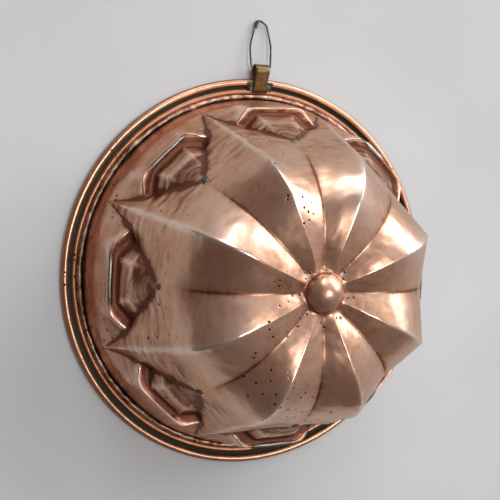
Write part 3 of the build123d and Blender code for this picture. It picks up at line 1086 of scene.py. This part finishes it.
def lamp(name, place, size, power, colour):
    """Rectangular lamp at a place in metres, turned to the mould."""
    data = bpy.data.lights.new(name, "AREA")
    data.shape = "RECTANGLE"
    data.size, data.size_y = size
    data.energy = power
    data.color = colour
    holder = bpy.data.objects.new(name, data)
    holder.location = place
    holder.rotation_euler = (Vector(LAMP_AIM) - Vector(place)).to_track_quat("-Z", "Y").to_euler()
    bpy.context.scene.collection.objects.link(holder)


def painted_plaster():
    """Plaster under matt paint: pale grey with faint clouds, a little lighter where it is seen."""
    material, tree, shader = new_material("painted_plaster")
    place = add_node(tree, "ShaderNodeTexCoord").outputs["Object"]
    cloud = add_node(
        tree, NOISE, {"Vector": place, "Scale": MM / FLOOR_CLOUD, "Detail": 5.0}
    ).outputs["Fac"]
    lit, seen = (
        add_node(
            tree,
            "ShaderNodeValToRGB",
            {"Fac": cloud},
            stops=((0.3, linear(dark)), (0.7, linear(light))),
        ).outputs["Color"]
        for dark, light in (("#c9cac9", "#d0d1d0"), ("#dfe3e7", "#e8ebee"))
    )
    direct = add_node(tree, "ShaderNodeLightPath").outputs["Is Camera Ray"]
    colour = add_node(tree, "ShaderNodeMix", {0: direct, 6: lit, 7: seen}, data_type="RGBA")
    tree.links.new(colour.outputs[2], shader.inputs["Base Color"])
    shader.inputs["Roughness"].default_value = 0.9
    return material


def room(strength):
    """World that is light on the window's side and brown-grey on the other."""
    world = bpy.data.worlds.new("room")
    world.use_nodes = True
    tree = world.node_tree
    tree.nodes.clear()
    way = add_node(tree, "ShaderNodeTexCoord").outputs["Generated"]
    toward = add_node(
        tree, "ShaderNodeVectorMath", {0: way, 1: ROOM_LIGHT_SIDE}, operation="DOT_PRODUCT"
    ).outputs["Value"]
    low, high = ROOM_RANGE
    share = add_node(
        tree, "ShaderNodeMapRange", {"Value": toward, "From Min": low, "From Max": high}
    ).outputs["Result"]
    stops = [(place, linear(colour)) for place, colour in ROOM_COLOURS]
    light = add_node(tree, "ShaderNodeValToRGB", {"Fac": share}, stops=stops).outputs["Color"]
    direct = add_node(tree, "ShaderNodeLightPath").outputs["Is Camera Ray"]
    colour = add_node(
        tree, "ShaderNodeMix", {0: direct, 6: light, 7: linear(ROOM_SEEN)}, data_type="RGBA"
    ).outputs[2]
    power = add_node(
        tree, "ShaderNodeMix", {0: direct, 2: strength, 3: 1.0}, data_type="FLOAT"
    ).outputs[0]
    sky = add_node(tree, "ShaderNodeBackground", {"Color": colour, "Strength": power})
    add_node(tree, "ShaderNodeOutputWorld", {"Surface": sky.outputs["Background"]})
    return world


class MOULD_OT_stage(bpy.types.Operator):
    """Stage: camera, pale floor, room light and lamps"""

    bl_idname = "mould.stage"
    bl_label = "Stage"

    def execute(self, context):
        scene = context.scene
        settings = scene.mould_stage
        scene.view_settings.view_transform = "Standard"
        lens = bpy.data.cameras.new("camera")
        lens.lens, lens.sensor_width = settings.lens, 36.0
        lens.clip_start, lens.clip_end = 0.01, 20.0
        camera = bpy.data.objects.new("camera", lens)
        axes = (Vector(CAMERA_RIGHT), -Vector(CAMERA_DOWN), -Vector(CAMERA_AHEAD))
        camera.matrix_world = (
            Matrix.Translation(CAMERA_PLACE) @ Matrix(axes).transposed().to_4x4()
        )
        scene.collection.objects.link(camera)
        scene.camera = camera

        line = np.linspace(-FLOOR_REACH, FLOOR_REACH, FLOOR_CELLS)
        x, y = np.meshgrid(line, line, indexing="ij")
        points = np.stack([x.ravel(), y.ravel(), np.full(x.size, -FLOOR_DROP)], axis=1)
        faces = flipped(grid_faces(FLOOR_CELLS, FLOOR_CELLS, closed_columns=False))
        floor = new_object("floor", points, faces, painted_plaster())

        scene.world = room(settings.world)
        for name, place, size, share, colour in LAMPS:
            lamp(name, place, size, share * settings.key, colour)
        return {"FINISHED"}


class MOULD_PT_pieces(bpy.types.Panel):
    """Lists the pieces of the mould and the stage"""

    bl_label = "Copper mould"
    bl_idname = "MOULD_PT_pieces"
    bl_space_type = "VIEW_3D"
    bl_region_type = "UI"
    bl_category = "Mould"

    def draw(self, context):
        for group in (context.scene.mould, context.scene.mould_stage):
            # The first two properties are Blender's own
            for name in group.bl_rna.properties.keys()[2:]:
                self.layout.prop(group, name)
        for piece in OPERATORS:
            self.layout.operator(piece.bl_idname)


OPERATORS = (
    MOULD_OT_stage,
    MOULD_OT_sheet,
    MOULD_OT_rim,
    MOULD_OT_solder,
    MOULD_OT_hanger,
)
CLASSES = (MouldSettings, StageSettings) + OPERATORS + (MOULD_PT_pieces,)


def register():
    for item in CLASSES:
        bpy.utils.register_class(item)
    bpy.types.Scene.mould = bpy.props.PointerProperty(type=MouldSettings)
    bpy.types.Scene.mould_stage = bpy.props.PointerProperty(type=StageSettings)


def unregister():
    del bpy.types.Scene.mould_stage
    del bpy.types.Scene.mould
    for item in reversed(CLASSES):
        bpy.utils.unregister_class(item)


def main():
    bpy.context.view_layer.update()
    register()
    bpy.ops.mould.stage()
    bpy.ops.mould.sheet()
    bpy.ops.mould.rim()
    bpy.ops.mould.solder()
    bpy.ops.mould.hanger()


if __name__ == "__main__":
    main()
